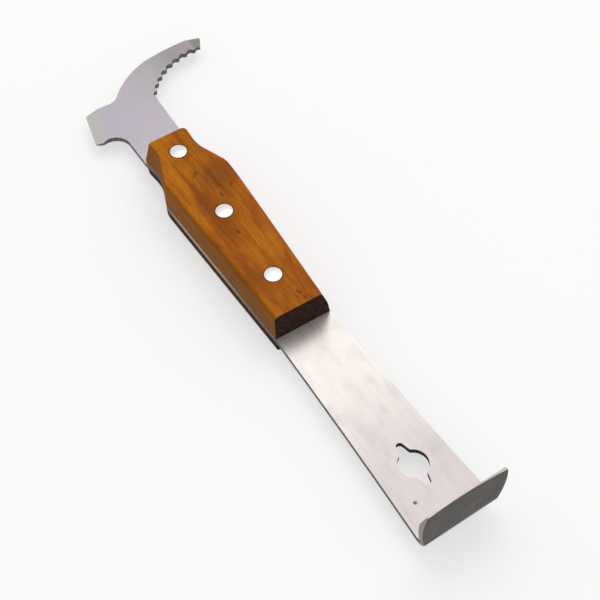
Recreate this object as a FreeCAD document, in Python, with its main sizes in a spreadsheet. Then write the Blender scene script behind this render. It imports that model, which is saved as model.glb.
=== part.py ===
import FreeCAD, Part
import math
import os
import Sketcher
from FreeCAD import Vector, Placement, Rotation

# Hive tool: a full-tang stainless blade with a serrated hook and a pry tab at one
# end and a turned-up scraper at the other, gripped by two riveted wooden scales.
#
# Frame: +X runs along the tool towards the hook, +Y towards the pry tab, +Z up.
# Z = 0 is the flat underside of the lower scale, on which the tool lies.
# Every piece is drawn about the axis of the middle rivet and the centre line of the
# blade, then placed so that the origin is the centre of the footprint.

doc = FreeCAD.newDocument("hive_tool")
dims = doc.addObject("Spreadsheet::Sheet", "dims")

SIZES = [
    # place of the origin, from the middle rivet and the blade's centre line
    ("origin_along", -29.6),
    ("origin_across", -13.66),
    # stack through the grip, from the underside up
    ("lower_scale_height", 6.0),
    ("steel_thickness", 2.5),
    ("upper_scale_height", 14.5),
    # turned-up scraper
    ("scraper_reach", 170.0),
    ("bend_inner_radius", 2.75),
    ("scraper_lean", 4.6),
    ("scraper_skew", 2.3),
    ("scraper_length", 25.95),
    ("scraper_bevel", 9.0),
    ("scraper_edge", 0.3),
    ("scraper_foot_half", 17.1),
    ("scraper_belly_radius", 45.0),
    ("scraper_tip_half", 18.8),
    ("scraper_corner_left", 35.4),
    ("scraper_corner_right", 33.0),
    ("scraper_crown_radius", 68.0),
    ("scraper_foot_height", 10.0),
    ("scraper_corner_round", 1.4),
    # blade between the grip and the scraper
    ("blade_start", -60.0),
    ("blade_start_half", 13.2),
    ("blade_left_radius", 3500.0),
    ("blade_right_radius", 2300.0),
    # nail hole
    ("nail_hole_along", -138.8),
    ("nail_hole_radius", 6.3),
    ("nail_slot_root", 2.5),
    ("nail_slot_tip", 1.5),
    ("nail_slot_reach", 9.7),
    ("nail_end_radius", 1.6),
    ("nail_waist_round", 1.2),
    # waist and shoulders shared by the tang and the scales
    ("shoulder_left", 25.3),
    ("shoulder_right", 23.0),
    ("shoulder_half", 15.2),
    ("shoulder_radius", 11.0),
    ("waist_left", 46.0),
    ("waist_right", 44.0),
    ("waist_half", 9.4),
    ("waist_radius", 20.0),
    ("waist_run", 1.6),
    # neck, tab and hook
    ("neck_start", 55.0),
    ("neck_left", 10.7),
    ("neck_right", 12.0),
    ("tab_root_along", 69.8),
    ("tab_root_radius", 7.6),
    ("tab_inner_along", 77.0),
    ("tab_inner_across", 20.2),
    ("tab_low_along", 78.6),
    ("tab_low_across", 23.4),
    ("tab_high_along", 97.2),
    ("tab_high_across", 19.2),
    ("tab_bevel", 6.0),
    ("tab_edge", 0.5),
    ("hook_root_along", 96.3),
    ("hook_root_across", 6.6),
    ("hook_root_radius", 8.5),
    ("hook_back_along", 99.4),
    ("hook_back_across", 1.1),
    ("hook_back_radius", 44.3),
    ("hook_top_along", 111.8),
    ("hook_top_across", -19.6),
    ("hook_top_radius", 100.0),
    ("hook_tip_along", 112.6),
    ("hook_tip_across", -50.9),
    ("hook_throat_along", 72.7),
    ("hook_throat_across", -42.4),
    ("hook_throat_radius", 33.0),
    ("hook_inner_tip_across", -47.0),
    ("hook_corner_across", -13.2),
    ("hook_bevel", 8.0),
    ("hook_edge", 0.7),
    ("gullet_radius", 1.75),
    ("gullet_inset", 0.6),
    ("gullet_first_angle", -6.5),
    ("gullet_sweep", 64.5),
    ("gullet_count", 9),
    ("tab_high_round", 0.7),
    ("tab_low_round", 1.5),
    ("hook_nose_round", 0.7),
    # ends and sides of the scales
    ("slant_end_half", 9.1),
    ("slant_over", -0.5),
    ("slant_knee_half", 12.2),
    ("slant_knee_height", 6.2),
    ("slant_belly_radius", 40.0),
    ("scale_front_along", 57.7),
    ("scale_front_lean", 20.0),
    ("scale_front_spare", 1.0),
    ("scale_corner_radius", 2.6),
    ("scale_edge_round", 2.0),
    ("lower_edge_round", 2.4),
    # rivets
    ("rivet_spacing", 40.5),
    ("rivet_row_shift", 1.0),
    ("rivet_row_skew", 0.7),
    ("rivet_head_radius", 3.75),
    ("rivet_head_height", 1.4),
    ("rivet_crown", 0.35),
    ("rivet_tube_end", 2.2),
    ("rivet_cap", 1.0),
    ("rivet_pin_reach", 18.0),
    ("rivet_tube_radius", 2.5),
    ("rivet_pin_radius", 1.7),
    ("rivet_running_gap", 0.02),
    ("rivet_bore_gap", 0.05),
    ("rivet_recess", 0.1),
]

for row, (alias, value) in enumerate(SIZES, start=1):
    cell = "A%d" % row
    dims.set(cell, str(value))
    dims.setAlias(cell, alias)
doc.recompute()


def size(alias):
    return float(getattr(dims, alias))


def value_of(formula):
    """Number that a formula over the sheet's sizes gives, such as -dims.neck_right."""
    probe = dims.evalExpression(formula.replace("dims.", ""))
    return float(getattr(probe, "Value", probe))


# ---------------------------------------------------------------- sketch helpers

def origin_plane(body, role):
    for feature in body.Origin.OriginFeatures:
        if feature.Role == role:
            return feature
    raise RuntimeError("no plane " + role)


def new_body(label):
    body = doc.addObject("PartDesign::Body", label)
    body.Label = label
    body.setExpression("Placement.Base.x", "-dims.origin_along")
    body.setExpression("Placement.Base.y", "-dims.origin_across")
    return body


def new_sketch(body, name, role="XY_Plane", height=None):
    """Sketch on one of the body's origin planes, moved along its normal by height."""
    sketch = body.newObject("Sketcher::SketchObject", name)
    sketch.AttachmentSupport = (origin_plane(body, role), "")
    sketch.MapMode = "FlatFace"
    if height:
        sketch.setExpression("AttachmentOffset.Base.z", height)
    return sketch


def bind(sketch, constraint, formula):
    index = sketch.addConstraint(constraint)
    sketch.setExpression("Constraints[%d]" % index, formula)
    return index


def pin_point(sketch, geometry, end, x, y):
    """Hold one end of a curve at the formulas x and y from the sketch's origin."""
    bind(sketch, Sketcher.Constraint("DistanceX", -1, 1, geometry, end, value_of(x)), x)
    bind(sketch, Sketcher.Constraint("DistanceY", -1, 1, geometry, end, value_of(y)), y)


def arc_between(start, finish, radius, turn):
    """Arc from start to finish; turn is +1 for a left-hand bend, -1 for a right-hand one."""
    half = (finish - start) * 0.5
    rise = math.sqrt(max(radius * radius - half.Length ** 2, 0.0))
    normal = Vector(-half.y, half.x, 0).normalize()
    centre = start + half + normal * (rise * turn)
    first = math.atan2(start.y - centre.y, start.x - centre.x)
    last = math.atan2(finish.y - centre.y, finish.x - centre.x)
    circle = Part.Circle(centre, Vector(0, 0, 1), radius)
    if turn > 0:
        return Part.ArcOfCircle(circle, first, last)
    return Part.ArcOfCircle(circle, last, first)


def draw(sketch, start, steps):
    """Edges from the point start along the steps; returns each edge's two ends."""
    ends = []
    for step in steps:
        finish = Vector(value_of(step[0]), value_of(step[1]), 0)
        if len(step) == 2:
            edge = sketch.addGeometry(Part.LineSegment(start, finish), False)
            ends.append((edge, 1, 2))
        else:
            arc = arc_between(start, finish, value_of(step[2]), step[3])
            edge = sketch.addGeometry(arc, False)
            bind(sketch, Sketcher.Constraint("Radius", edge, value_of(step[2])), step[2])
            ends.append((edge, 1, 2) if step[3] > 0 else (edge, 2, 1))
        start = finish
    for before, after in zip(ends, ends[1:]):
        join(sketch, (before[0], before[2]), (after[0], after[1]))
    return ends


def join(sketch, one, other, kind="Coincident"):
    sketch.addConstraint(Sketcher.Constraint(kind, one[0], one[1], other[0], other[1]))


def outline(sketch, steps):
    """Closed outline through named points.

    Each step is (x, y) for a straight edge to that point, or (x, y, radius, turn)
    for an arc to it. The outline starts and ends at the last step's point.
    """
    start = Vector(value_of(steps[-1][0]), value_of(steps[-1][1]), 0)
    ends = draw(sketch, start, steps)
    join(sketch, (ends[-1][0], ends[-1][2]), (ends[0][0], ends[0][1]))
    for step, (edge, _, last) in zip(steps, ends):
        pin_point(sketch, edge, last, step[0], step[1])


def link(sketch, begin, steps, finish, bend=None):
    """Edges from one drawn end through the steps' points, then on to another end.

    begin and finish are (edge, end). The last edge is straight, or an arc if bend
    gives its (radius, turn).
    """
    ends = draw(sketch, sketch.getPoint(*begin), steps)
    for step, (edge, _, last) in zip(steps, ends):
        pin_point(sketch, edge, last, step[0], step[1])
    reached = begin
    if ends:
        join(sketch, begin, (ends[0][0], ends[0][1]))
        reached = (ends[-1][0], ends[-1][2])
    start, stop = sketch.getPoint(*reached), sketch.getPoint(*finish)
    leave, arrive = 1, 2
    if bend:
        arc = arc_between(start, stop, value_of(bend[0]), bend[1])
        closing = sketch.addGeometry(arc, False)
        bind(sketch, Sketcher.Constraint("Radius", closing, value_of(bend[0])), bend[0])
        if bend[1] < 0:
            leave, arrive = 2, 1
    else:
        closing = sketch.addGeometry(Part.LineSegment(start, stop), False)
    join(sketch, reached, (closing, leave))
    join(sketch, (closing, arrive), finish)


def ring(sketch, x, y, radius):
    centre = Vector(value_of(x), value_of(y), 0)
    circle = Part.Circle(centre, Vector(0, 0, 1), value_of(radius))
    edge = sketch.addGeometry(circle, False)
    pin_point(sketch, edge, 3, x, y)
    bind(sketch, Sketcher.Constraint("Radius", edge, value_of(radius)), radius)


def pad(body, sketch, length, midplane=False):
    feature = body.newObject("PartDesign::Pad", sketch.Name + "_pad")
    feature.Profile = sketch
    feature.setExpression("Length", length)
    feature.Midplane = midplane
    doc.recompute()
    return feature


def pocket(body, sketch, length=None, midplane=False, backwards=False):
    """Cut the sketch out of the body; with no length it goes right through."""
    before = body.Shape.Volume
    feature = body.newObject("PartDesign::Pocket", sketch.Name + "_pocket")
    feature.Profile = sketch
    if length:
        feature.setExpression("Length", length)
    else:
        feature.Type = 1
    feature.Midplane = midplane
    feature.Reversed = backwards
    doc.recompute()
    if not body.Shape.Volume < before - 1e-6:
        raise RuntimeError(feature.Name + " cuts nothing")
    return feature


def fillet(body, name, radius, wanted):
    """Round every edge of the body for which wanted(edge) is true."""
    base = body.Tip
    names = []
    for number, edge in enumerate(base.Shape.Edges, start=1):
        if wanted(edge):
            names.append("Edge%d" % number)
    feature = body.newObject("PartDesign::Fillet", name)
    feature.Base = (base, names)
    feature.setExpression("Radius", radius)
    doc.recompute()
    return feature


# ---------------------------------------------------------------- steel blade

TOP = "dims.lower_scale_height + dims.steel_thickness"
BEND_START = "-(dims.scraper_reach - dims.bend_inner_radius - dims.steel_thickness)"
SKEW_SHIFT = "dims.scraper_foot_half * tan(dims.scraper_skew * 1deg)"


def tangent_edges(sketch, sign):
    """One side of the grip: straight flank, shoulder, fall and waist, all tangent.

    sign is +1 for the left side and -1 for the right one. Returns the rear end and
    the front end of the chain as (edge, end).
    """
    side = "left" if sign > 0 else "right"
    shoulder_at = "dims.shoulder_" + side
    waist_at = "dims.waist_" + side
    waist_end = waist_at + " + dims.waist_run"
    rear = Vector(size("blade_start"), sign * size("blade_start_half"), 0)
    top = Vector(value_of(shoulder_at), sign * size("shoulder_half"), 0)
    heading = (top - rear).normalize()
    inward = Vector(sign * heading.y, -sign * heading.x, 0)
    shoulder_r = size("shoulder_radius")
    waist_r = size("waist_radius")
    shoulder_c = top + inward * shoulder_r
    waist_c = Vector(value_of(waist_at), sign * (size("waist_half") + waist_r), 0)
    across = waist_c - shoulder_c
    lean = math.atan2(sign * across.y, across.x)
    lean -= math.asin((shoulder_r + waist_r) / across.Length)
    outward = Vector(-math.sin(lean), sign * math.cos(lean), 0)
    fall_start = shoulder_c + outward * shoulder_r
    fall_end = waist_c - outward * waist_r
    rise = math.asin(size("waist_run") / waist_r)
    front = waist_c + Vector(math.sin(rise), -sign * math.cos(rise), 0) * waist_r

    def arc(start, finish, centre, radius, turn):
        first = math.atan2(start.y - centre.y, start.x - centre.x)
        last = math.atan2(finish.y - centre.y, finish.x - centre.x)
        circle = Part.Circle(centre, Vector(0, 0, 1), radius)
        if turn > 0:
            return sketch.addGeometry(Part.ArcOfCircle(circle, first, last), False), 1, 2
        return sketch.addGeometry(Part.ArcOfCircle(circle, last, first), False), 2, 1

    flat = (sketch.addGeometry(Part.LineSegment(rear, top), False), 1, 2)
    shoulder = arc(top, fall_start, shoulder_c, shoulder_r, -sign)
    fall = (sketch.addGeometry(Part.LineSegment(fall_start, fall_end), False), 1, 2)
    waist = arc(fall_end, front, waist_c, waist_r, sign)
    chain = (flat, shoulder, fall, waist)
    for before, after in zip(chain, chain[1:]):
        join(sketch, (before[0], before[2]), (after[0], after[1]), "Tangent")
    minus = "" if sign > 0 else "-"
    pin_point(sketch, flat[0], 1, "dims.blade_start", minus + "dims.blade_start_half")
    pin_point(sketch, flat[0], 2, shoulder_at, minus + "dims.shoulder_half")
    for edge, radius in ((shoulder[0], "shoulder_radius"), (waist[0], "waist_radius")):
        bind(sketch, Sketcher.Constraint("Radius", edge, size(radius)), "dims." + radius)
    pin_point(sketch, waist[0], 3, waist_at,
              minus + "(dims.waist_half + dims.waist_radius)")
    bind(sketch, Sketcher.Constraint("DistanceX", -1, 1, waist[0], waist[2],
                                     value_of(waist_end)), waist_end)
    return (flat[0], 1), (waist[0], waist[2])


blade = new_body("steel_blade")

plan = new_sketch(blade, "blade_plan", height="dims.lower_scale_height")
hook_inner_tip = ("dims.hook_throat_along + sqrt(dims.hook_throat_radius ^ 2 - "
                  "(dims.hook_inner_tip_across - dims.hook_throat_across) ^ 2)")
hook_corner = ("dims.hook_throat_along + sqrt(dims.hook_throat_radius ^ 2 - "
               "(dims.hook_corner_across - dims.hook_throat_across) ^ 2)")
left_rear, left_front = tangent_edges(plan, 1)
right_rear, right_front = tangent_edges(plan, -1)
link(plan, left_rear, [
    (BEND_START + " - " + SKEW_SHIFT, "dims.scraper_foot_half",
     "dims.blade_left_radius", -1),
    (BEND_START + " + " + SKEW_SHIFT, "-dims.scraper_foot_half"),
], right_rear, ("dims.blade_right_radius", -1))
link(plan, right_front, [
    ("dims.neck_start", "-dims.neck_right"),
    (hook_corner, "dims.hook_corner_across"),
    (hook_inner_tip, "dims.hook_inner_tip_across", "dims.hook_throat_radius", -1),
    ("dims.hook_tip_along", "dims.hook_tip_across"),
    ("dims.hook_top_along", "dims.hook_top_across", "dims.hook_top_radius", 1),
    ("dims.hook_back_along", "dims.hook_back_across", "dims.hook_back_radius", 1),
    ("dims.hook_root_along", "dims.hook_root_across", "dims.hook_root_radius", -1),
    ("dims.tab_high_along", "dims.tab_high_across"),
    ("dims.tab_low_along", "dims.tab_low_across"),
    ("dims.tab_inner_along", "dims.tab_inner_across"),
    ("dims.tab_root_along", "dims.neck_left", "dims.tab_root_radius", -1),
    ("dims.neck_start", "dims.neck_left"),
], left_front)
pad(blade, plan, "dims.steel_thickness")

# The scraper: the sheet turns up through a tight bend and leans a little outwards. The
# bend isn't quite square to the blade: its left end lies further out.
OUTER = "(dims.bend_inner_radius + dims.steel_thickness)"
BEND_LINE = BEND_START + " * cos(dims.scraper_skew * 1deg)"
CENTRE_Z = "dims.lower_scale_height + " + OUTER
COS = "cos(dims.scraper_lean * 1deg)"
SIN = "sin(dims.scraper_lean * 1deg)"


def on_strip(depth, along):
    """Point on the turned-up strip: depth outwards from the bend's centre, along it."""
    x = "%s - (%s) * %s - (%s) * %s" % (BEND_LINE, depth, COS, along, SIN)
    z = "%s - (%s) * %s + (%s) * %s" % (CENTRE_Z, depth, SIN, along, COS)
    return x, z


side = new_sketch(blade, "scraper_side", "XZ_Plane")
side.AttachmentOffset = Placement(Vector(0, 0, 0), Rotation(Vector(0, 1, 0), 5))
side.setExpression("AttachmentOffset.Rotation.Angle", "dims.scraper_skew")
outline(side, [
    (BEND_LINE, "dims.lower_scale_height"),
    on_strip(OUTER, "0") + (OUTER, -1),
    on_strip(OUTER, "dims.scraper_length"),
    on_strip(OUTER + " - dims.scraper_edge", "dims.scraper_length"),
    on_strip("dims.bend_inner_radius", "dims.scraper_length - dims.scraper_bevel"),
    on_strip("dims.bend_inner_radius", "0"),
    (BEND_LINE, TOP, "dims.bend_inner_radius", 1),
])
pad(blade, side, "4 * dims.scraper_foot_half", midplane=True)

# The sheet is cut to a foot as wide as the blade, bulging sides and slightly rounded
# corners, under a crowned edge that drops towards the right.
front = new_sketch(blade, "scraper_front", "YZ_Plane", BEND_START + " + dims.steel_thickness")
low = "dims.lower_scale_height - dims.steel_thickness"
foot = "dims.scraper_foot_height"
tip = "dims.scraper_tip_half"
inset = "dims.scraper_corner_round"
left = "dims.scraper_corner_left"
right = "dims.scraper_corner_right"
wide = "3 * dims.scraper_foot_half"
outline(front, [
    ("dims.scraper_foot_half", foot),
    (tip, left + " - " + inset, "dims.scraper_belly_radius", 1),
    (tip + " - " + inset, left, inset, 1),
    (inset + " - " + tip, right, "dims.scraper_crown_radius", 1),
    ("-" + tip, right + " - " + inset, inset, 1),
    ("-dims.scraper_foot_half", foot, "dims.scraper_belly_radius", 1),
    ("-dims.scraper_foot_half", low),
    ("dims.scraper_foot_half", low),
])
outline(front, [
    (wide, "2 * " + left),
    ("-" + wide, "2 * " + left),
    ("-" + wide, low + " - dims.scraper_foot_half"),
    (wide, low + " - dims.scraper_foot_half"),
])
pocket(blade, front)

# Nail hole: a round eye with a short tapering slot running out of it at each end.
nail = new_sketch(blade, "nail_hole", height=TOP)
root = "sqrt(dims.nail_hole_radius ^ 2 - dims.nail_slot_root ^ 2)"
hook_root = "dims.nail_hole_along + " + root
hook_end = "dims.nail_hole_along + dims.nail_slot_reach"
back_root = "dims.nail_hole_along - " + root
back_end = "dims.nail_hole_along - dims.nail_slot_reach"
outline(nail, [
    (back_root, "dims.nail_slot_root", "dims.nail_hole_radius", 1),
    (back_end, "dims.nail_slot_tip"),
    (back_end, "-dims.nail_slot_tip", "dims.nail_end_radius", 1),
    (back_root, "-dims.nail_slot_root"),
    (hook_root, "-dims.nail_slot_root", "dims.nail_hole_radius", 1),
    (hook_end, "-dims.nail_slot_tip"),
    (hook_end, "dims.nail_slot_tip", "dims.nail_end_radius", 1),
    (hook_root, "dims.nail_slot_root"),
])
pocket(blade, nail)


def at_slot_root(edge):
    ends = edge.Vertexes
    if len(ends) != 2 or abs(ends[0].Z - ends[1].Z) < 0.9 * size("steel_thickness"):
        return False
    across = abs(abs(ends[0].Y) - size("nail_slot_root"))
    along = abs(abs(ends[0].X - size("nail_hole_along")) - nail_root)
    return across < 0.01 and along < 0.01


nail_root = value_of(root)
fillet(blade, "nail_hole_waist", "dims.nail_waist_round", at_slot_root)

# Three rivet holes through the tang.
RIVETS = ("front", "middle", "rear")
RIVET_X = {"front": "dims.rivet_spacing", "middle": "0", "rear": "-dims.rivet_spacing"}
RIVET_Y = {
    "front": "dims.rivet_row_shift - dims.rivet_row_skew",
    "middle": "dims.rivet_row_shift",
    "rear": "dims.rivet_row_shift + dims.rivet_row_skew",
}
holes = new_sketch(blade, "tang_holes", height=TOP)
for place in RIVETS:
    ring(holes, RIVET_X[place], RIVET_Y[place],
         "dims.rivet_tube_radius + dims.rivet_bore_gap")
pocket(blade, holes)

# Scalloped serrations round the throat of the hook: one gullet, then its copies.
gullet = new_sketch(blade, "gullet", height=TOP)
gullet.setExpression("AttachmentOffset.Base.x", "dims.hook_throat_along")
gullet.setExpression("AttachmentOffset.Base.y", "dims.hook_throat_across")
reach = "(dims.hook_throat_radius - dims.gullet_inset)"
ring(gullet, reach + " * cos(dims.gullet_first_angle * 1deg)",
     reach + " * sin(dims.gullet_first_angle * 1deg)", "dims.gullet_radius")
first_gullet = pocket(blade, gullet)
row = blade.newObject("PartDesign::PolarPattern", "gullet_row")
row.Originals = [first_gullet]
row.Axis = (gullet, ["N_Axis"])
row.setExpression("Angle", "dims.gullet_sweep * 1deg")
row.setExpression("Occurrences", "dims.gullet_count")
blade.Tip = row
doc.recompute()


def grind(name, face_angle, tip, slope, edge, width):
    """Grind the top face down to a thin edge that lies tip away from the Z axis.

    face_angle turns the slope's direction from +Y about Z, in degrees; slope is how
    far back from the edge it starts, edge how thick the steel stays there.
    """
    cut = new_sketch(blade, name, "YZ_Plane")
    cut.AttachmentOffset = Placement(Vector(0, 0, 0), Rotation(Vector(0, 1, 0), 5))
    cut.setExpression("AttachmentOffset.Rotation.Angle", face_angle)
    drop = "(dims.steel_thickness - (%s)) / (%s)" % (edge, slope)
    outline(cut, [
        ("(%s) - (%s)" % (tip, slope), TOP),
        ("(%s) + (%s)" % (tip, slope), "%s - 2 * (%s) * %s" % (TOP, slope, drop)),
        ("(%s) + (%s)" % (tip, slope), TOP + " + dims.steel_thickness"),
        ("(%s) - (%s)" % (tip, slope), TOP + " + dims.steel_thickness"),
    ])
    pocket(blade, cut, width, midplane=True)


tab_dx = "(dims.tab_high_along - dims.tab_low_along)"
tab_dy = "(dims.tab_low_across - dims.tab_high_across)"
tab_run = "sqrt(%s ^ 2 + %s ^ 2)" % (tab_dx, tab_dy)
tab_tip = "(dims.tab_low_along * %s + dims.tab_low_across * %s) / %s" % (tab_dy, tab_dx, tab_run)
grind("tab_bevel_cut", "-atan2(%s; %s)" % (tab_dy, tab_dx), tab_tip,
      "dims.tab_bevel", "dims.tab_edge", "2.4 * dims.tab_high_along")
grind("hook_bevel_cut", "180deg", "-dims.hook_tip_across",
      "dims.hook_bevel", "dims.hook_edge", "2.4 * dims.hook_tip_along")


def vertical_at(points, reach=0.05):
    """Test for the upright edges of the sheet that stand at one of the given points."""
    def wanted(edge):
        ends = edge.Vertexes
        if len(ends) != 2 or abs(ends[0].Z - ends[1].Z) < 0.1:
            return False
        flat = math.hypot(ends[0].X - ends[1].X, ends[0].Y - ends[1].Y)
        if flat > 0.01:
            return False
        return any(math.hypot(ends[0].X - x, ends[0].Y - y) < reach for x, y in points)
    return wanted


fillet(blade, "tab_high_corner", "dims.tab_high_round",
       vertical_at([(size("tab_high_along"), size("tab_high_across"))]))
fillet(blade, "tab_low_corner", "dims.tab_low_round",
       vertical_at([(size("tab_low_along"), size("tab_low_across"))]))
nose = [(size("hook_tip_along"), size("hook_tip_across")),
        (value_of(hook_inner_tip), size("hook_inner_tip_across"))]
fillet(blade, "hook_nose", "dims.hook_nose_round", vertical_at(nose))

# ---------------------------------------------------------------- wooden scales


def scale_outline(sketch):
    """Plan of a scale: square rear, shoulders, waist and a square front."""
    left_rear, left_front = tangent_edges(sketch, 1)
    right_rear, right_front = tangent_edges(sketch, -1)
    link(sketch, left_rear, [], right_rear)
    rise = math.asin(size("waist_run") / size("waist_radius"))
    reach = "dims.scale_front_along + dims.scale_front_spare"
    corners = []
    for sign, begin in ((1, left_front), (-1, right_front)):
        start = sketch.getPoint(*begin)
        run = value_of(reach) - start.x
        corner = start + Vector(run, sign * run * math.tan(rise), 0)
        flare = sketch.addGeometry(Part.LineSegment(start, corner), False)
        join(sketch, begin, (flare, 1), "Tangent")
        bind(sketch, Sketcher.Constraint("DistanceX", -1, 1, flare, 2, corner.x), reach)
        corners.append((flare, 2))
    link(sketch, corners[1], [], corners[0])


def lean_front(body, inner, outer):
    """Cut the front end back from the steel's face, at height inner, to height outer."""
    cut = new_sketch(body, body.Label + "_front", "XZ_Plane")
    drop = "(%s - (%s)) * tan(dims.scale_front_lean * 1deg)"
    rise = drop % (outer, inner)
    if value_of(outer) < value_of(inner):
        rise = drop % (inner, outer)
    far = "dims.scale_front_along + 3 * dims.scale_front_spare"
    outline(cut, [
        ("dims.scale_front_along", inner),
        ("dims.scale_front_along - " + rise, outer),
        (far, outer),
        (far, inner),
    ])
    pocket(body, cut, "4 * dims.shoulder_half", midplane=True)
    top = max(value_of(inner), value_of(outer))
    bottom = min(value_of(inner), value_of(outer))

    def corner(edge):
        box = edge.BoundBox
        spans = abs(box.ZMax - top) < 0.01 and abs(box.ZMin - bottom) < 0.01
        return spans and box.XMax > size("neck_start")

    fillet(body, body.Label + "_front_corners", "dims.scale_corner_radius", corner)


def drill_scale(body, mouth, head_face, upwards):
    """Rivet bores right through a scale, and the counterbores for the heads."""
    bores = new_sketch(body, body.Label + "_bores", height=mouth)
    sinks = new_sketch(body, body.Label + "_sinks", height=head_face)
    for place in RIVETS:
        ring(bores, RIVET_X[place], RIVET_Y[place],
             "dims.rivet_tube_radius + dims.rivet_bore_gap")
        ring(sinks, RIVET_X[place], RIVET_Y[place],
             "dims.rivet_head_radius + dims.rivet_bore_gap")
    pocket(body, bores)
    pocket(body, sinks, "dims.rivet_head_height", backwards=upwards)


UPPER_TOP = TOP + " + dims.upper_scale_height"

upper = new_body("upper_scale")
sole = new_sketch(upper, "upper_sole", height=TOP)
scale_outline(sole)
pad(upper, sole, "dims.upper_scale_height")
lean_front(upper, TOP, UPPER_TOP)

# The right side leans in towards the rear: a slightly bellied face that leaves the top
# along a line from the shoulder to the rear end, and keeps the full width at the steel.
slant_dx = "(dims.shoulder_right - dims.blade_start)"
slant_dy = "(dims.shoulder_half + dims.slant_over - dims.slant_end_half)"
slant_run = "sqrt(%s ^ 2 + %s ^ 2)" % (slant_dx, slant_dy)
slant_tip = "(dims.slant_end_half * %s + dims.blade_start * %s) / %s" % (
    slant_dx, "(-%s)" % slant_dy, slant_run)
slant_foot = "(dims.blade_start_half - dims.slant_end_half)"
slant_knee = "(dims.slant_knee_half - dims.slant_end_half)"
slant = new_sketch(upper, "upper_slant", "YZ_Plane")
slant.AttachmentOffset = Placement(Vector(0, 0, 0), Rotation(Vector(0, 1, 0), 5))
slant.setExpression("AttachmentOffset.Rotation.Angle", "-atan2(%s; %s)" % (slant_dy, slant_dx))
outline(slant, [
    ("-(%s)" % slant_tip, UPPER_TOP),
    ("-(%s + %s)" % (slant_tip, slant_knee), TOP + " + dims.slant_knee_height",
     "dims.slant_belly_radius", 1),
    ("-(%s + %s)" % (slant_tip, slant_foot), TOP),
    ("-(%s + 4 * %s)" % (slant_tip, slant_foot), TOP),
    ("-(%s + 4 * %s)" % (slant_tip, slant_foot), UPPER_TOP),
])
pocket(upper, slant, "4 * dims.scale_front_along", midplane=True)


def rim_at(height, skip_x):
    """Test for the edges that lie flat at a height, apart from one across at skip_x."""
    def wanted(edge):
        box = edge.BoundBox
        if abs(box.ZMin - height) > 0.01 or abs(box.ZMax - height) > 0.01:
            return False
        return not (abs(box.XMin - skip_x) < 0.01 and abs(box.XMax - skip_x) < 0.01)
    return wanted


fillet(upper, "upper_edge_round", "dims.scale_edge_round",
       rim_at(value_of(UPPER_TOP), size("blade_start")))
drill_scale(upper, UPPER_TOP, UPPER_TOP, False)

lower = new_body("lower_scale")
base = new_sketch(lower, "lower_plan")
scale_outline(base)
pad(lower, base, "dims.lower_scale_height")
lean_front(lower, "dims.lower_scale_height", "0")
fillet(lower, "lower_edge_rounding", "dims.lower_edge_round",
       rim_at(0.0, size("blade_start")))
drill_scale(lower, "dims.lower_scale_height", None, True)

# ---------------------------------------------------------------- rivets

HEAD_SEAT = UPPER_TOP + " - dims.rivet_head_height"
CROWN_RADIUS = "(dims.rivet_head_radius ^ 2 + dims.rivet_crown ^ 2) / (2 * dims.rivet_crown)"
CAVITY = "dims.rivet_pin_radius + dims.rivet_running_gap"


def turned(label, place, steps):
    """A piece turned about the axis of one rivet."""
    body = new_body(label)
    body.setExpression("Placement.Base.x", RIVET_X[place] + " - dims.origin_along")
    body.setExpression("Placement.Base.y", RIVET_Y[place] + " - dims.origin_across")
    section = new_sketch(body, label + "_section", "XZ_Plane")
    outline(section, steps)
    turn = body.newObject("PartDesign::Revolution", label + "_turn")
    turn.Profile = section
    turn.ReferenceAxis = (section, ["V_Axis"])
    turn.Angle = 360
    doc.recompute()
    return body


bodies = [blade, upper, lower]
for place in RIVETS:
    # Each rivet is two pieces pressed together: a headed tube from above ...
    bodies.append(turned("rivet_%s_socket" % place, place, [
        ("0", HEAD_SEAT + " - dims.rivet_cap"),
        (CAVITY, HEAD_SEAT + " - dims.rivet_cap"),
        (CAVITY, "dims.rivet_tube_end"),
        ("dims.rivet_tube_radius", "dims.rivet_tube_end"),
        ("dims.rivet_tube_radius", HEAD_SEAT),
        ("dims.rivet_head_radius", HEAD_SEAT),
        ("dims.rivet_head_radius", UPPER_TOP),
        ("0", UPPER_TOP + " + dims.rivet_crown", CROWN_RADIUS, 1),
    ]))
    # ... and a headed pin from below, sunk just under the face the tool lies on.
    bodies.append(turned("rivet_%s_pin" % place, place, [
        ("0", "dims.rivet_recess"),
        ("dims.rivet_head_radius", "dims.rivet_recess"),
        ("dims.rivet_head_radius", "dims.rivet_head_height"),
        ("dims.rivet_pin_radius", "dims.rivet_head_height"),
        ("dims.rivet_pin_radius", "dims.rivet_pin_reach"),
        ("0", "dims.rivet_pin_reach"),
    ]))

# ---------------------------------------------------------------- checks and files

doc.recompute()
for item in doc.Objects:
    if "Invalid" in item.State or "Error" in item.State:
        raise RuntimeError(item.Name + " failed")
whole = FreeCAD.BoundBox()
for body in bodies:
    shape = body.Shape
    if shape.isNull() or not shape.isValid() or len(shape.Solids) != 1:
        raise RuntimeError(body.Label + " is not one sound solid")
    whole.add(shape.BoundBox)
    print("%-20s %9.1f mm3" % (body.Label, shape.Volume))
print("box", [round(v, 2) for v in (whole.XMin, whole.XMax, whole.YMin, whole.YMax,
                                    whole.ZMin, whole.ZMax)])

os.makedirs("parts", exist_ok=True)
for body in bodies:
    body.Shape.exportStep("parts/" + body.Label + ".step")
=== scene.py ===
import math

import bpy
from mathutils import Matrix, Vector

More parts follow.
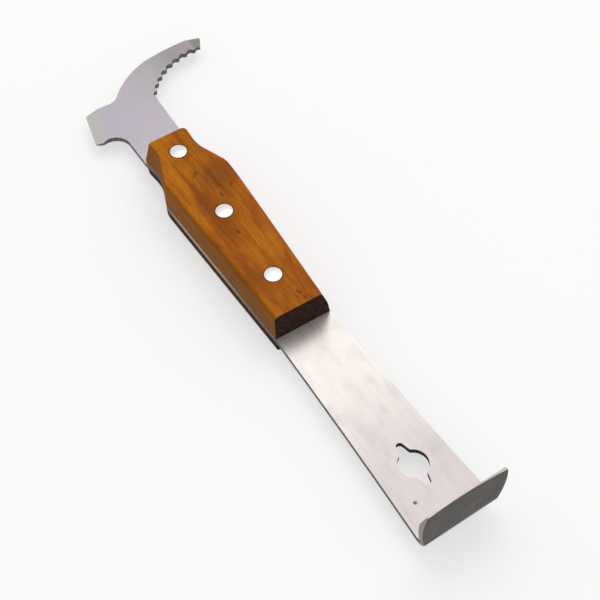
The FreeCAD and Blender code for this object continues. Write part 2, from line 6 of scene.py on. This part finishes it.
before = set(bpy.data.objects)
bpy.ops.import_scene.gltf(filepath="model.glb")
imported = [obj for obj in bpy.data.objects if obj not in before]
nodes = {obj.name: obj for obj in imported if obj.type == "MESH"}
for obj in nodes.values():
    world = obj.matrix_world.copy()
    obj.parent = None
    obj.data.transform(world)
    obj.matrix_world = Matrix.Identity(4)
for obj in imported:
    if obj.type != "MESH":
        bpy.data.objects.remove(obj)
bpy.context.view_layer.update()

scene = bpy.context.scene
scene.view_settings.view_transform = "Standard"

# Places and lengths are in metres, in the CAD's own frame; the lens and sensor are in mm.

# ---- camera ----------------------------------------------------------------------------

CAMERA_PLACE = (-0.3421, 0.19556, 0.5094)
CAMERA_RIGHT = Vector((-0.53656, -0.84332, -0.03022))
CAMERA_UP = Vector((0.66678, -0.44564, 0.59734))
CAMERA_LENS = 90.0
CAMERA_SENSOR = 36.0
CAMERA_NEAR = 0.01
CAMERA_FAR = 20.0

camera_data = bpy.data.cameras.new("camera")
camera_data.lens = CAMERA_LENS
camera_data.sensor_width = CAMERA_SENSOR
camera_data.clip_start = CAMERA_NEAR
camera_data.clip_end = CAMERA_FAR
camera = bpy.data.objects.new("camera", camera_data)
scene.collection.objects.link(camera)
right = CAMERA_RIGHT.normalized()
back = right.cross(CAMERA_UP).normalized()
up = back.cross(right)
turn = Matrix((right, up, back)).transposed()
camera.matrix_world = Matrix.Translation(CAMERA_PLACE) @ turn.to_4x4()
scene.camera = camera

# ---- small helpers for shader nodes ----------------------------------------------------


class Shader:
    """One material's node tree, with short ways to add nodes to it."""

    def __init__(self, tree):
        self.tree = tree
        tree.nodes.clear()

    def add(self, kind, inputs=None, **settings):
        made = self.tree.nodes.new("ShaderNode" + kind)
        for key, value in settings.items():
            setattr(made, key, value)
        for key, value in (inputs or {}).items():
            self.put(made.inputs[key], value)
        return made

    def put(self, socket, value):
        """Links a socket's value, or sets a plain one."""
        if isinstance(value, bpy.types.NodeSocket):
            self.tree.links.new(value, socket)
        else:
            socket.default_value = value

    def math(self, operation, a, b=None):
        made = self.add("Math", operation=operation)
        self.put(made.inputs[0], a)
        if b is not None:
            self.put(made.inputs[1], b)
        return made.outputs[0]

    def times(self, a, b):
        return self.math("MULTIPLY", a, b)

    def plus(self, a, b):
        return self.math("ADD", a, b)

    def flip(self, value):
        """1 where value is 0, and 0 where it is 1."""
        return self.math("SUBTRACT", 1.0, value)

    def split(self, vector):
        """The x, y and z of a vector."""
        return self.add("SeparateXYZ", {"Vector": vector}).outputs

    def distance(self, a, b):
        made = self.add("VectorMath", {0: a, 1: b}, operation="DISTANCE")
        return made.outputs["Value"]

    def ramp(self, value, low, high, to_low=0.0, to_high=1.0):
        """value, taken smoothly from low..high to to_low..to_high and held there outside."""
        made = self.add(
            "MapRange",
            {
                "Value": value,
                "From Min": low,
                "From Max": high,
                "To Min": to_low,
                "To Max": to_high,
            },
            interpolation_type="SMOOTHSTEP",
        )
        return made.outputs[0]

    def noise(self, place, stretch, detail=3.0, roughness=0.55, distortion=0.0, turned=0.0):
        """Noise from about 0 to 1, with stretch cells a metre along each axis."""
        scaled = self.add(
            "Mapping",
            {"Vector": place, "Rotation": (0.0, 0.0, turned), "Scale": stretch},
            vector_type="POINT",
        ).outputs[0]
        made = self.add(
            "TexNoise",
            {
                "Vector": scaled,
                "Scale": 1.0,
                "Detail": detail,
                "Roughness": roughness,
                "Distortion": distortion,
            },
        )
        return made.outputs[0]

    def mix(self, share, a, b):
        """Colour a where share is 0, b where it is 1."""
        made = self.add("Mix", data_type="RGBA")
        self.put(made.inputs[0], share)
        self.put(made.inputs[6], a)
        self.put(made.inputs[7], b)
        return made.outputs[2]

    def bump(self, height, depth, strength=1.0, after=None):
        """Bump of that depth where height goes from 0 to 1, on top of the bump after."""
        made = self.add("Bump", {"Height": height, "Strength": strength, "Distance": depth})
        if after is not None:
            self.put(made.inputs["Normal"], after)
        return made.outputs[0]


def new_material(name):
    """A material, its Shader and its Principled shader."""
    made = bpy.data.materials.new(name)
    made.use_nodes = True
    shader = Shader(made.node_tree)
    surface = shader.add("BsdfPrincipled")
    out = shader.add("OutputMaterial")
    shader.tree.links.new(surface.outputs[0], out.inputs[0])
    return made, shader, surface


def settle(surface, **settings):
    """Sets the values that are the same all over a surface, such as Coat_Weight."""
    for name, value in settings.items():
        surface.inputs[name.replace("_", " ")].default_value = value


def grey(value):
    return (value, value, value, 1.0)


# ---- steel -----------------------------------------------------------------------------

STEEL_TOP = 0.0085
SCRAPER_X = -0.1418
PIT = (-0.1235, 0.0229, STEEL_TOP)
HOLE = (-0.1092, 0.01366, 0.00725)

STEEL_METALLIC = 0.72
GRAIN_DEPTH = 0.000003
CROSS_DEPTH = 0.000004
SCRATCH_DEPTH = 0.0000012
TEAR_DEPTH = 0.00003
PIT_DEPTH = 0.0001

BLADE_TINT = (0.830, 0.790, 0.755, 1.0)
NECK_TINT = (0.590, 0.545, 0.625, 1.0)
# Painted shade: the darker hook, hook end and scraper-end tints stand in for the steel's
# reflection falling off.
HOOK_SHADE_TINT = (0.500, 0.495, 0.485, 1.0)
HOOK_END_SHADE_TINT = (0.345, 0.330, 0.320, 1.0)
FALLOFF_SHADE_TINT = (0.555, 0.515, 0.505, 1.0)
CLOUD_TINT = (0.640, 0.560, 0.600, 1.0)
SMUDGE_TINT = (0.480, 0.470, 0.470, 1.0)
BLUSH_TINT = (0.500, 0.400, 0.430, 1.0)
GROUND_TINT = (0.740, 0.735, 0.690, 1.0)
MOTTLE_TINTS = (0.22, 0.24, 0.20, 1.0), (0.40, 0.42, 0.38, 1.0)
# Sheared edges: their own duller finish, darkened by painted shade.
SHEARED_AND_SHADE_TINTS = (0.17, 0.165, 0.155, 1.0), (0.32, 0.31, 0.29, 1.0)
TANG_TINT = (0.66, 0.58, 0.44, 1.0)
# Painted shade: the nail hole's walls are painted near black.
HOLE_SHADE_TINT = (0.035, 0.033, 0.030, 1.0)
# Staining and painted shade: the scraper's dark outer face.
STAIN_AND_SHADE_TINTS = (0.16, 0.155, 0.152, 1.0), (0.24, 0.22, 0.20, 1.0)
WORN_TINT = (0.40, 0.40, 0.40, 1.0)
RUST_TINT = (0.06, 0.035, 0.025, 1.0)


def steel_material():
    """Satin stainless sheet: grain, scratches, smudges, bevels, sheared edges, and painted
    shade on the edges, hook and scraper end.
    """
    made, sh, surface = new_material("satin_steel")
    coords = sh.add("TexCoord")
    place = coords.outputs["Object"]
    nx, _, nz = sh.split(coords.outputs["Normal"])
    x, y, z = sh.split(place)
    level = sh.math("ABSOLUTE", nz)

    grain = sh.noise(place, (18.0, 3200.0, 3200.0), detail=2.0)
    cross = sh.noise(place, (900.0, 60.0, 900.0), turned=0.35)
    clouds = sh.noise(place, (16.0, 42.0, 42.0), detail=4.0)
    smudge = sh.noise(place, (70.0, 120.0, 120.0), detail=5.0, roughness=0.65)
    fleck = sh.noise(place, (1500.0, 1500.0, 1500.0), detail=2.0)
    scratch_along = sh.noise(place, (35.0, 1300.0, 1300.0), 1.0, 0.5, 0.6, 0.5)
    scratch_across = sh.noise(place, (1100.0, 30.0, 1100.0), 1.0, 0.5, 0.8, -0.3)
    scratch = sh.math(
        "MAXIMUM",
        sh.ramp(scratch_along, 0.70, 0.74),
        sh.ramp(scratch_across, 0.71, 0.75),
    )

    # The warm bright blade turns to a cooler, heat-tinted neck and a grey hook with a faint
    # pink blush on its outer curve.
    # The hook is painted darker, darker still towards its tip, and the blade is painted
    # duller towards the scraper:
    # painted shade, where the steel's reflection of the softbox falls off.
    neck = sh.ramp(x, 0.070, 0.095)
    hook = sh.times(neck, sh.ramp(y, 0.014, -0.012))
    hook_end = sh.times(neck, sh.ramp(y, -0.004, -0.022))
    falloff_shade = sh.ramp(x, -0.040, -0.120)
    blush = sh.times(sh.ramp(y, -0.008, -0.026), sh.ramp(x, 0.120, 0.128))
    tint = sh.mix(neck, BLADE_TINT, NECK_TINT)
    tint = sh.mix(hook, tint, HOOK_SHADE_TINT)
    tint = sh.mix(hook_end, tint, HOOK_END_SHADE_TINT)
    tint = sh.mix(falloff_shade, tint, FALLOFF_SHADE_TINT)
    tint = sh.mix(sh.ramp(clouds, 0.3, 0.7, 0.0, 0.35), tint, CLOUD_TINT)
    tint = sh.mix(sh.ramp(smudge, 0.45, 0.75, 0.0, 0.25), tint, SMUDGE_TINT)
    tint = sh.mix(sh.times(blush, 0.3), tint, BLUSH_TINT)

    # Ground bevels lean away from the flat. The hook's tip is mottled and darker.
    ground = sh.times(sh.ramp(level, 0.985, 0.965), sh.ramp(level, 0.75, 0.9))
    tint = sh.mix(sh.times(ground, 0.9), tint, GROUND_TINT)
    tip = sh.ramp(sh.plus(y, sh.times(smudge, 0.006)), -0.0265, -0.0295)
    mottle = sh.mix(sh.ramp(fleck, 0.35, 0.65), *MOTTLE_TINTS)
    tint = sh.mix(sh.times(tip, 0.8), tint, mottle)

    # Sheared edges show upright tear marks and are painted dark, partly their own duller
    # finish and partly painted shade for edges turned from the light. The tang's is light,
    # and the nail hole's is painted near black, as painted shade in the hole.
    sheared = sh.ramp(level, 0.75, 0.45)
    tears = sh.noise(place, (2600.0, 2600.0, 90.0), detail=2.0)
    edge = sh.mix(sh.ramp(tears, 0.35, 0.65), *SHEARED_AND_SHADE_TINTS)
    tang = sh.times(sh.ramp(x, -0.020, 0.020), sh.ramp(x, 0.060, 0.045))
    edge = sh.mix(sh.times(tang, 0.85), edge, TANG_TINT)
    edge = sh.mix(sh.ramp(sh.distance(place, HOLE), 0.0125, 0.0115), edge, HOLE_SHADE_TINT)
    turned_up = sh.ramp(x, SCRAPER_X + 0.005, SCRAPER_X + 0.003)
    narrow = sh.times(sheared, sh.flip(turned_up))
    tint = sh.mix(narrow, tint, edge)

    # The scraper's outer face is painted dark, partly a little real staining and partly
    # painted shade for the dark surroundings it reflects; its inner face is bright.
    broad = sh.times(turned_up, sh.ramp(sh.math("ABSOLUTE", nx), 0.5, 0.8))
    outer = sh.times(broad, sh.ramp(nx, 0.0, -0.3))
    stain_and_shade = sh.mix(sh.ramp(smudge, 0.35, 0.7), *STAIN_AND_SHADE_TINTS)
    worn = sh.times(sh.ramp(z, 0.017, 0.007), sh.ramp(clouds, 0.42, 0.62))
    stain_and_shade = sh.mix(sh.times(worn, 0.5), stain_and_shade, WORN_TINT)
    tint = sh.mix(outer, tint, stain_and_shade)

    # One small rust pit near the scraper.
    ragged = sh.plus(sh.distance(place, PIT), sh.times(fleck, 0.0008))
    pit = sh.ramp(ragged, 0.0015, 0.0007)
    tint = sh.mix(sh.times(pit, 0.85), tint, RUST_TINT)

    rough = sh.ramp(grain, 0.3, 0.7, 0.27, 0.37)
    rough = sh.plus(rough, sh.ramp(smudge, 0.4, 0.8, 0.0, 0.08))
    rough = sh.plus(rough, sh.times(sheared, 0.12))
    rough = sh.math("SUBTRACT", rough, sh.times(scratch, 0.03))

    relief = sh.bump(grain, GRAIN_DEPTH)
    relief = sh.bump(cross, CROSS_DEPTH, after=relief)
    relief = sh.bump(sh.flip(scratch), SCRATCH_DEPTH, after=relief)
    relief = sh.bump(sh.times(tears, narrow), TEAR_DEPTH, after=relief)
    relief = sh.bump(sh.flip(pit), PIT_DEPTH, after=relief)

    settle(surface, Metallic=STEEL_METALLIC)
    sh.put(surface.inputs["Base Color"], tint)
    sh.put(surface.inputs["Roughness"], rough)
    sh.put(surface.inputs["Normal"], relief)
    return made


# ---- wood ------------------------------------------------------------------------------

# The rivets' axes, as x and y.
RIVET_PLACES = {
    "front": (0.07010, 0.01396),
    "middle": (0.02960, 0.01466),
    "rear": (-0.01090, 0.01536),
}
DARK_PATCH = (0.049, 0.006, 0.023)

UPPER_SHADE = 0.0
LOWER_SHADE = 0.88
WOOD_SPECULAR = 0.04
VARNISH_WEIGHT = 0.09
VARNISH_ROUGHNESS = 0.16
PORE_DEPTH = 0.00003
STREAK_DEPTH = 0.00003

WOOD_TINTS = (0.570, 0.178, 0.004, 1.0), (0.330, 0.082, 0.003, 1.0)
FIGURE_TINT = (0.240, 0.050, 0.003, 1.0)
STREAK_TINT = (0.250, 0.066, 0.003, 1.0)
KNOT_TINT = (0.090, 0.028, 0.006, 1.0)
PORE_TINT = (0.055, 0.016, 0.004, 1.0)
RED_TINT = (0.420, 0.072, 0.003, 1.0)
PATCH_TINT = (0.150, 0.035, 0.006, 1.0)
# Painted shade on the left side face.
FLANK_SHADE_TINT = (0.200, 0.076, 0.006, 1.0)
# Painted shade round the rivet heads.
RIVET_SHADE_TINT = (0.070, 0.024, 0.006, 1.0)
# End grain, darkened further by painted shade.
END_GRAIN_AND_SHADE_TINTS = (0.012, 0.005, 0.003, 1.0), (0.050, 0.018, 0.008, 1.0)
SHADE_TINT = (0.020, 0.009, 0.005, 1.0)


def wood_material(name, shade):
    """Varnished orange-brown hardwood; shade, from 0 to 1, darkens the whole piece."""
    made, sh, surface = new_material(name)
    coords = sh.add("TexCoord")
    place = coords.outputs["Object"]
    nx, ny, _ = sh.split(coords.outputs["Normal"])
    x, y, _ = sh.split(place)

    blotch = sh.noise(place, (26.0, 70.0, 70.0), detail=4.0, roughness=0.6)
    figure = sh.noise(place, (34.0, 230.0, 150.0), 3.0, 0.6, 1.2, 0.08)
    streak = sh.noise(place, (30.0, 900.0, 700.0), 4.0, 0.6, 0.5, 0.06)
    pore = sh.noise(place, (260.0, 3600.0, 3600.0), detail=2.0, turned=0.06)
    knots = sh.noise(place, (95.0, 150.0, 150.0), detail=2.0, distortion=0.6)

    tone = sh.mix(sh.ramp(blotch, 0.34, 0.64), *WOOD_TINTS)
    tone = sh.mix(sh.ramp(figure, 0.48, 0.66, 0.0, 0.55), tone, FIGURE_TINT)
    tone = sh.mix(sh.ramp(streak, 0.44, 0.70, 0.0, 0.50), tone, STREAK_TINT)
    tone = sh.mix(sh.ramp(knots, 0.66, 0.74, 0.0, 0.7), tone, KNOT_TINT)
    tone = sh.mix(sh.ramp(pore, 0.60, 0.72, 0.0, 0.7), tone, PORE_TINT)

    # Redder towards the right edge, and a dark patch between the front and middle rivets.
    # The left side is painted browner and darker, as painted shade for the side turned from
    # the light.
    red = sh.times(sh.ramp(y, 0.008, 0.002), 0.35)
    tone = sh.mix(red, tone, RED_TINT)
    patch = sh.plus(sh.distance(place, DARK_PATCH), sh.times(blotch, 0.012))
    tone = sh.mix(sh.ramp(patch, 0.019, 0.008, 0.0, 0.55), tone, PATCH_TINT)
    flank_shade = sh.times(sh.ramp(ny, 0.3, 0.8), 0.75)
    tone = sh.mix(flank_shade, tone, FLANK_SHADE_TINT)

    # Painted shade: a dark ring round each rivet head, where the head meets the wood.
    flat = sh.add("CombineXYZ", {"X": x, "Y": y}).outputs[0]
    for centre in RIVET_PLACES.values():
        shade_ring = sh.ramp(sh.distance(flat, centre + (0.0,)), 0.0046, 0.0039, 0.0, 0.75)
        tone = sh.mix(shade_ring, tone, RIVET_SHADE_TINT)

    # The rear end is painted nearly black, with open end grain: the darker end grain is its
    # own, and the rest is painted shade for the end face turned from the light.
    rings = sh.noise(place, (500.0, 500.0, 900.0), detail=4.0, roughness=0.6)
    end_grain_and_shade = sh.mix(sh.ramp(rings, 0.40, 0.65), *END_GRAIN_AND_SHADE_TINTS)
    tone = sh.mix(sh.ramp(nx, -0.6, -0.9), tone, end_grain_and_shade)
    tone = sh.mix(shade, tone, SHADE_TINT)

    relief = sh.bump(sh.flip(pore), PORE_DEPTH, 0.6)
    relief = sh.bump(streak, STREAK_DEPTH, 0.5, after=relief)

    settle(
        surface,
        Specular_IOR_Level=WOOD_SPECULAR,
        Coat_Weight=VARNISH_WEIGHT,
        Coat_Roughness=VARNISH_ROUGHNESS,
    )
    sh.put(surface.inputs["Base Color"], tone)
    sh.put(surface.inputs["Roughness"], sh.ramp(streak, 0.3, 0.7, 0.42, 0.58))
    sh.put(surface.inputs["Normal"], relief)
    return made


# ---- rivets ----------------------------------------------------------------------------

RIVET_METALLIC = 0.6
MARK_DEPTH = 0.000004
FINE_DEPTH = 0.000008

RIVET_TINTS = (0.90, 0.91, 0.93, 1.0), (0.97, 0.97, 0.97, 1.0)
# Painted reflection at the head's middle and painted shade at its rim.
RIVET_CENTRE_REFLECTION_TINT = (0.84, 0.90, 0.97, 1.0)
RIVET_RIM_SHADE_TINT = (0.55, 0.53, 0.50, 1.0)


def rivet_material(name, centre):
    """Bright rivet metal with fine turning marks round the rivet's own axis."""
    made, sh, surface = new_material(name)
    place = sh.add("TexCoord").outputs["Object"]
    x, y, _ = sh.split(place)
    flat = sh.add("CombineXYZ", {"X": x, "Y": y}).outputs[0]
    away = sh.distance(flat, centre + (0.0,))
    outward = sh.add("CombineXYZ", {"X": away}).outputs[0]
    marks = sh.noise(outward, (9000.0, 1.0, 1.0), detail=2.0)
    fine = sh.noise(place, (1100.0, 1100.0, 1100.0))

    # The middle of the head is painted bluer, a painted reflection, and its rim darker,
    # painted shade.
    tone = sh.mix(sh.ramp(fine, 0.3, 0.7), *RIVET_TINTS)
    tone = sh.mix(sh.ramp(away, 0.0024, 0.0008, 0.0, 0.5), tone, RIVET_CENTRE_REFLECTION_TINT)
    tone = sh.mix(sh.ramp(away, 0.0034, 0.0037, 0.0, 0.3), tone, RIVET_RIM_SHADE_TINT)

    settle(surface, Metallic=RIVET_METALLIC)
    sh.put(surface.inputs["Base Color"], tone)
    sh.put(surface.inputs["Roughness"], sh.ramp(marks, 0.3, 0.7, 0.24, 0.36))
    relief = sh.bump(marks, MARK_DEPTH)
    sh.put(surface.inputs["Normal"], sh.bump(fine, FINE_DEPTH, after=relief))
    return made


# ---- materials and edges of the CAD nodes ----------------------------------------------

EASE_WIDTH = 0.00015
EASE_SEGMENTS = 2
EASE_ANGLE = math.radians(30.0)
WELD_DISTANCE = 0.000002


def cover(node, material):
    """Shows a CAD node with that material."""
    slot = nodes[node].material_slots[0]
    slot.link = "OBJECT"
    slot.material = material


def ease_edges(node):
    """Takes the razor sharpness off a CAD node's edges, by modifiers alone."""
    weld = nodes[node].modifiers.new("weld", "WELD")
    weld.merge_threshold = WELD_DISTANCE
    soft = nodes[node].modifiers.new("ease", "BEVEL")
    soft.width = EASE_WIDTH
    soft.segments = EASE_SEGMENTS
    soft.limit_method = "ANGLE"
    soft.angle_limit = EASE_ANGLE
    soft.harden_normals = True


cover("steel_blade", steel_material())
cover("upper_scale", wood_material("varnished_wood", UPPER_SHADE))
cover("lower_scale", wood_material("shaded_wood", LOWER_SHADE))
for which, centre in RIVET_PLACES.items():
    metal = rivet_material("bright_rivet_" + which, centre)
    cover("rivet_%s_socket" % which, metal)
    cover("rivet_%s_pin" % which, metal)
ease_edges("steel_blade")

# ---- floor and light -------------------------------------------------------------------

FLOOR_HALF = 3.0
FLOOR_Z = -0.0001
FLOOR_CORNERS = (-1, -1), (1, -1), (1, 1), (-1, 1)
PAPER_COLOUR = grey(0.55)
PAPER_GLOW = 0.52
PAPER_ROUGHNESS = 0.9

LOWER_GLOW = grey(0.32)
UPPER_GLOW = grey(0.62)
GLOW_HEIGHTS = -0.1, 0.25

KEY_PLACE = Vector((0.25, -0.35, 1.3))
KEY_SIZE = (1.2, 1.2)
KEY_POWER = 4.8
KEY_COLOUR = (1.0, 0.975, 0.94)

floor_mesh = bpy.data.meshes.new("floor")
floor_points = [(a * FLOOR_HALF, b * FLOOR_HALF, FLOOR_Z) for a, b in FLOOR_CORNERS]
floor_mesh.from_pydata(floor_points, [], [(0, 1, 2, 3)])
floor = bpy.data.objects.new("floor", floor_mesh)
scene.collection.objects.link(floor)
paper, _, surface = new_material("white_paper")
settle(
    surface,
    Base_Color=PAPER_COLOUR,
    Emission_Color=grey(1.0),
    Emission_Strength=PAPER_GLOW,
    Roughness=PAPER_ROUGHNESS,
    Specular_IOR_Level=0.0,
)
floor_mesh.materials.append(paper)
# The pale floor lights the tool, but doesn't show as a reflection in its steel.
floor.visible_glossy = False

world = bpy.data.worlds.new("studio")
scene.world = world
world.use_nodes = True
sh = Shader(world.node_tree)
_, _, height = sh.split(sh.add("TexCoord").outputs["Generated"])
glow = sh.mix(sh.ramp(height, *GLOW_HEIGHTS), LOWER_GLOW, UPPER_GLOW)
background = sh.add("Background", {"Color": glow, "Strength": 1.0})
sky = sh.add("OutputWorld")
sh.tree.links.new(background.outputs[0], sky.inputs[0])

# One large softbox, aimed at the middle of the tool.
key_data = bpy.data.lights.new("key", "AREA")
key_data.shape = "RECTANGLE"
key_data.size, key_data.size_y = KEY_SIZE
key_data.energy = KEY_POWER
key_data.color = KEY_COLOUR
key = bpy.data.objects.new("key", key_data)
key.location = KEY_PLACE
key.rotation_mode = "QUATERNION"
key.rotation_quaternion = (-KEY_PLACE).to_track_quat("-Z", "Y")
scene.collection.objects.link(key)
